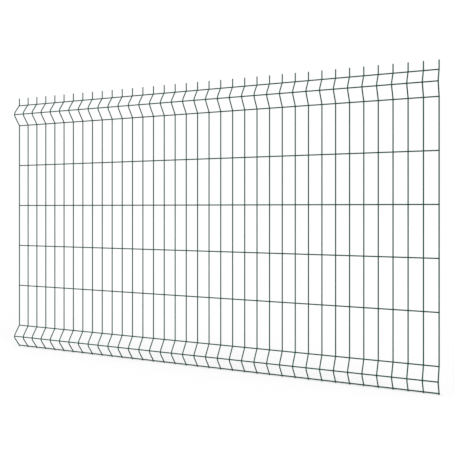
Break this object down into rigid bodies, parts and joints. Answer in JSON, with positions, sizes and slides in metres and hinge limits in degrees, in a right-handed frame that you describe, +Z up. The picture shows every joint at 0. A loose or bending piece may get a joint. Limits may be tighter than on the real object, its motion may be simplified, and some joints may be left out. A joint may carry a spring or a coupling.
{
  "type": "wire mesh panel",
  "caption": "Green coated welded wire mesh panel with a V fold along its top and bottom edges and free wire tips above; it closes one bay of a guard or boundary fence.",
  "frame": {"origin": "on the cut lower end of the middle upright wire, at the panel's foot", "axes": "+X along the panel, +Y toward its back where the line wires are, so the folds point to -Y, and +Z up"},
  "size_m": [2, 0.0433, 1.2395],
  "materials": {
    "green_coated_wire": "dark moss green plastic coat on galvanised steel wire, satin"
  },
  "bodies": {
    "root": {"upright_wire_01": "green_coated_wire", "upright_wire_02": "green_coated_wire", "upright_wire_03": "green_coated_wire", "upright_wire_04": "green_coated_wire", "upright_wire_05": "green_coated_wire", "upright_wire_06": "green_coated_wire", "upright_wire_07": "green_coated_wire", "upright_wire_08": "green_coated_wire", "upright_wire_09": "green_coated_wire", "upright_wire_10": "green_coated_wire", "upright_wire_11": "green_coated_wire", "upright_wire_12": "green_coated_wire", "upright_wire_13": "green_coated_wire", "upright_wire_14": "green_coated_wire", "upright_wire_15": "green_coated_wire", "upright_wire_16": "green_coated_wire", "upright_wire_17": "green_coated_wire", "upright_wire_18": "green_coated_wire", "upright_wire_19": "green_coated_wire", "upright_wire_20": "green_coated_wire", "upright_wire_21": "green_coated_wire", "upright_wire_22": "green_coated_wire", "upright_wire_23": "green_coated_wire", "upright_wire_24": "green_coated_wire", "upright_wire_25": "green_coated_wire", "upright_wire_26": "green_coated_wire", "upright_wire_27": "green_coated_wire", "upright_wire_28": "green_coated_wire", "upright_wire_29": "green_coated_wire", "upright_wire_30": "green_coated_wire", "upright_wire_31": "green_coated_wire", "upright_wire_32": "green_coated_wire", "upright_wire_33": "green_coated_wire", "upright_wire_34": "green_coated_wire", "upright_wire_35": "green_coated_wire", "upright_wire_36": "green_coated_wire", "upright_wire_37": "green_coated_wire", "bottom_fold_lower_line_wire": "green_coated_wire", "bottom_fold_apex_line_wire": "green_coated_wire", "bottom_fold_upper_line_wire": "green_coated_wire", "line_wire_1": "green_coated_wire", "line_wire_2": "green_coated_wire", "line_wire_3": "green_coated_wire", "line_wire_4": "green_coated_wire", "top_fold_lower_line_wire": "green_coated_wire", "top_fold_apex_line_wire": "green_coated_wire", "top_fold_upper_line_wire": "green_coated_wire"}
  },
  "joints": []
}
